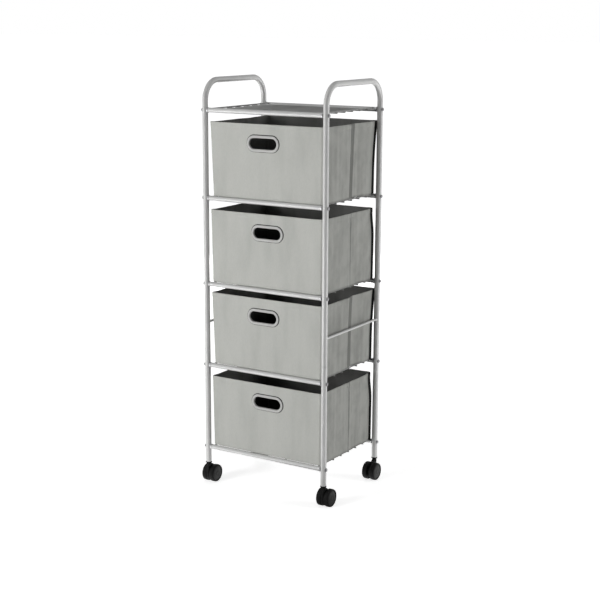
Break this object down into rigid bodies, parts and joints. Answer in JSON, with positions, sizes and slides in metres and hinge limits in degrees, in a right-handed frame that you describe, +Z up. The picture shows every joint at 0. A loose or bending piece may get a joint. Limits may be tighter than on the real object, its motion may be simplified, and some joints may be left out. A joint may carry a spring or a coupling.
{
  "type": "rolling drawer cart",
  "caption": "Tall narrow cart of bent metal tube with an open wire top shelf, fabric drawers on wire shelves, push handles at both sides and swivel casters.",
  "frame": {"origin": "on the floor, under the middle of the cart", "axes": "+Z up, -Y to the front where the drawers open, +X to the right seen from the front"},
  "size_m": [0.419, 0.305, 1.143],
  "materials": {
    "silver_paint": "satin silver-grey powder coat on steel tube",
    "silver_wire_paint": "satin silver-grey powder coat on steel bar and wire",
    "zinc_plated_steel": "dull zinc plating",
    "grey_fabric": "light warm grey non-woven cloth over stiff board, dark inside",
    "grey_plastic": "light grey moulded plastic",
    "dark_board": "pressed fibre board covered in dark cloth",
    "black_plastic": "black moulded plastic",
    "black_wheel_plastic": "black moulded plastic tread and face"
  },
  "bodies": {
    "cart_frame": {"left_side_frame": "silver_paint", "right_side_frame": "silver_paint", "front_left_leg": "silver_paint", "front_right_leg": "silver_paint", "back_left_leg": "silver_paint", "back_right_leg": "silver_paint", "front_left_caster_socket": "black_plastic", "front_right_caster_socket": "black_plastic", "back_left_caster_socket": "black_plastic", "back_right_caster_socket": "black_plastic", "top_shelf": "silver_wire_paint", "drawer_shelf_1": "silver_wire_paint", "drawer_shelf_2": "silver_wire_paint", "drawer_shelf_3": "silver_wire_paint", "drawer_shelf_4": "silver_wire_paint", "top_shelf_bolt_front_left": "zinc_plated_steel", "top_shelf_bolt_front_right": "zinc_plated_steel", "top_shelf_bolt_back_left": "zinc_plated_steel", "top_shelf_bolt_back_right": "zinc_plated_steel", "drawer_shelf_1_bolt_front_left": "zinc_plated_steel", "drawer_shelf_1_bolt_front_right": "zinc_plated_steel", "drawer_shelf_1_bolt_back_left": "zinc_plated_steel", "drawer_shelf_1_bolt_back_right": "zinc_plated_steel", "drawer_shelf_2_bolt_front_left": "zinc_plated_steel", "drawer_shelf_2_bolt_front_right": "zinc_plated_steel", "drawer_shelf_2_bolt_back_left": "zinc_plated_steel", "drawer_shelf_2_bolt_back_right": "zinc_plated_steel", "drawer_shelf_3_bolt_front_left": "zinc_plated_steel", "drawer_shelf_3_bolt_front_right": "zinc_plated_steel", "drawer_shelf_3_bolt_back_left": "zinc_plated_steel", "drawer_shelf_3_bolt_back_right": "zinc_plated_steel", "drawer_shelf_4_bolt_front_left": "zinc_plated_steel", "drawer_shelf_4_bolt_front_right": "zinc_plated_steel", "drawer_shelf_4_bolt_back_left": "zinc_plated_steel", "drawer_shelf_4_bolt_back_right": "zinc_plated_steel"},
    "drawer_1": {"drawer_1_bin": "grey_fabric", "drawer_1_grommet": "grey_plastic", "drawer_1_base_board": "dark_board"},
    "drawer_2": {"drawer_2_bin": "grey_fabric", "drawer_2_grommet": "grey_plastic", "drawer_2_base_board": "dark_board"},
    "drawer_3": {"drawer_3_bin": "grey_fabric", "drawer_3_grommet": "grey_plastic", "drawer_3_base_board": "dark_board"},
    "drawer_4": {"drawer_4_bin": "grey_fabric", "drawer_4_grommet": "grey_plastic", "drawer_4_base_board": "dark_board"},
    "front_left_caster": {"front_left_caster_housing": "black_plastic"},
    "front_right_caster": {"front_right_caster_housing": "black_plastic"},
    "back_left_caster": {"back_left_caster_housing": "black_plastic"},
    "back_right_caster": {"back_right_caster_housing": "black_plastic"},
    "front_left_outer_wheel": {"front_left_outer_wheel": "black_wheel_plastic"},
    "front_left_inner_wheel": {"front_left_inner_wheel": "black_wheel_plastic"},
    "front_right_outer_wheel": {"front_right_outer_wheel": "black_wheel_plastic"},
    "front_right_inner_wheel": {"front_right_inner_wheel": "black_wheel_plastic"},
    "back_left_outer_wheel": {"back_left_outer_wheel": "black_wheel_plastic"},
    "back_left_inner_wheel": {"back_left_inner_wheel": "black_wheel_plastic"},
    "back_right_outer_wheel": {"back_right_outer_wheel": "black_wheel_plastic"},
    "back_right_inner_wheel": {"back_right_inner_wheel": "black_wheel_plastic"}
  },
  "joints": [
    {"name": "drawer_1_slide", "type": "slide", "parent": "cart_frame", "child": "drawer_1", "axis": [0, -1, 0], "range_m": [0, 0.2]},
    {"name": "drawer_2_slide", "type": "slide", "parent": "cart_frame", "child": "drawer_2", "axis": [0, -1, 0], "range_m": [0, 0.2]},
    {"name": "drawer_3_slide", "type": "slide", "parent": "cart_frame", "child": "drawer_3", "axis": [0, -1, 0], "range_m": [0, 0.2]},
    {"name": "drawer_4_slide", "type": "slide", "parent": "cart_frame", "child": "drawer_4", "axis": [0, -1, 0], "range_m": [0, 0.2]},
    {"name": "front_left_swivel", "type": "hinge", "parent": "cart_frame", "child": "front_left_caster", "pos_m": [-0.19, -0.1435, 0.0603], "axis": [0, 0, 1], "continuous": true},
    {"name": "front_right_swivel", "type": "hinge", "parent": "cart_frame", "child": "front_right_caster", "pos_m": [0.19, -0.1435, 0.0603], "axis": [0, 0, 1], "continuous": true},
    {"name": "back_left_swivel", "type": "hinge", "parent": "cart_frame", "child": "back_left_caster", "pos_m": [-0.19, 0.1435, 0.0603], "axis": [0, 0, 1], "continuous": true},
    {"name": "back_right_swivel", "type": "hinge", "parent": "cart_frame", "child": "back_right_caster", "pos_m": [0.19, 0.1435, 0.0603], "axis": [0, 0, 1], "continuous": true},
    {"name": "front_left_outer_wheel_spin", "type": "hinge", "parent": "front_left_caster", "child": "front_left_outer_wheel", "pos_m": [-0.19, -0.1275, 0.025], "axis": [1, 0, 0], "continuous": true},
    {"name": "front_left_inner_wheel_spin", "type": "hinge", "parent": "front_left_caster", "child": "front_left_inner_wheel", "pos_m": [-0.19, -0.1275, 0.025], "axis": [1, 0, 0], "continuous": true},
    {"name": "front_right_outer_wheel_spin", "type": "hinge", "parent": "front_right_caster", "child": "front_right_outer_wheel", "pos_m": [0.19, -0.1275, 0.025], "axis": [1, 0, 0], "continuous": true},
    {"name": "front_right_inner_wheel_spin", "type": "hinge", "parent": "front_right_caster", "child": "front_right_inner_wheel", "pos_m": [0.19, -0.1275, 0.025], "axis": [1, 0, 0], "continuous": true},
    {"name": "back_left_outer_wheel_spin", "type": "hinge", "parent": "back_left_caster", "child": "back_left_outer_wheel", "pos_m": [-0.19, 0.1275, 0.025], "axis": [1, 0, 0], "continuous": true},
    {"name": "back_left_inner_wheel_spin", "type": "hinge", "parent": "back_left_caster", "child": "back_left_inner_wheel", "pos_m": [-0.19, 0.1275, 0.025], "axis": [1, 0, 0], "continuous": true},
    {"name": "back_right_outer_wheel_spin", "type": "hinge", "parent": "back_right_caster", "child": "back_right_outer_wheel", "pos_m": [0.19, 0.1275, 0.025], "axis": [1, 0, 0], "continuous": true},
    {"name": "back_right_inner_wheel_spin", "type": "hinge", "parent": "back_right_caster", "child": "back_right_inner_wheel", "pos_m": [0.19, 0.1275, 0.025], "axis": [1, 0, 0], "continuous": true}
  ]
}
